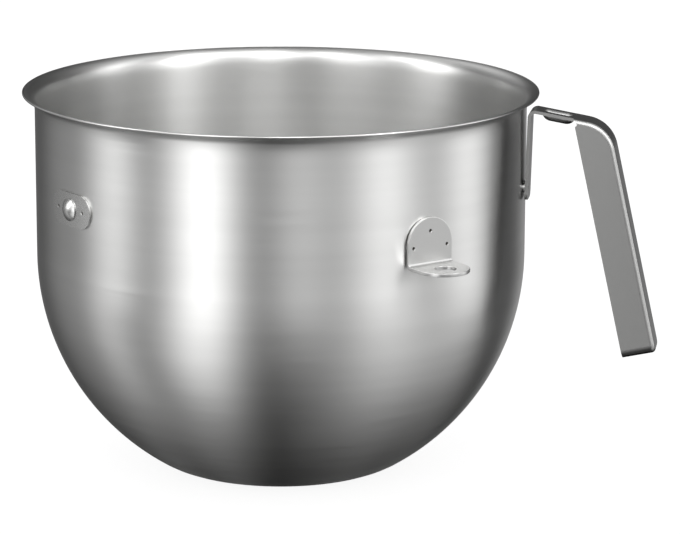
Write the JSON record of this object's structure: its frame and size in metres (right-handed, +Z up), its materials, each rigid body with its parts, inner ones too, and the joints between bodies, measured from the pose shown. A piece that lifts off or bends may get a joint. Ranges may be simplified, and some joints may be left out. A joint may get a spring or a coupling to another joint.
{
  "type": "stand mixer bowl",
  "caption": "Stainless steel bowl for a bowl-lift stand mixer, with a pressed side handle, side brackets with pin holes and a rear latch button.",
  "frame": {"origin": "middle of the base on the bowl's axis, in the plane that the bowl stands on", "axes": "+Z up along the bowl's axis, +X from the axis through the middle of the grip; the brackets are at -45 and 135 degrees and the latch button at -135 degrees about +Z"},
  "size_m": [0.3095, 0.25, 0.186],
  "materials": {
    "bowl_steel": "fine brushed round the bowl",
    "handle_steel": "satin",
    "bracket_steel": "satin",
    "latch_steel": "satin"
  },
  "bodies": {
    "root": {"bowl": "bowl_steel", "handle": "handle_steel", "left_bracket": "bracket_steel", "right_bracket": "bracket_steel", "latch_plate": "latch_steel", "latch_button": "latch_steel"}
  },
  "joints": []
}
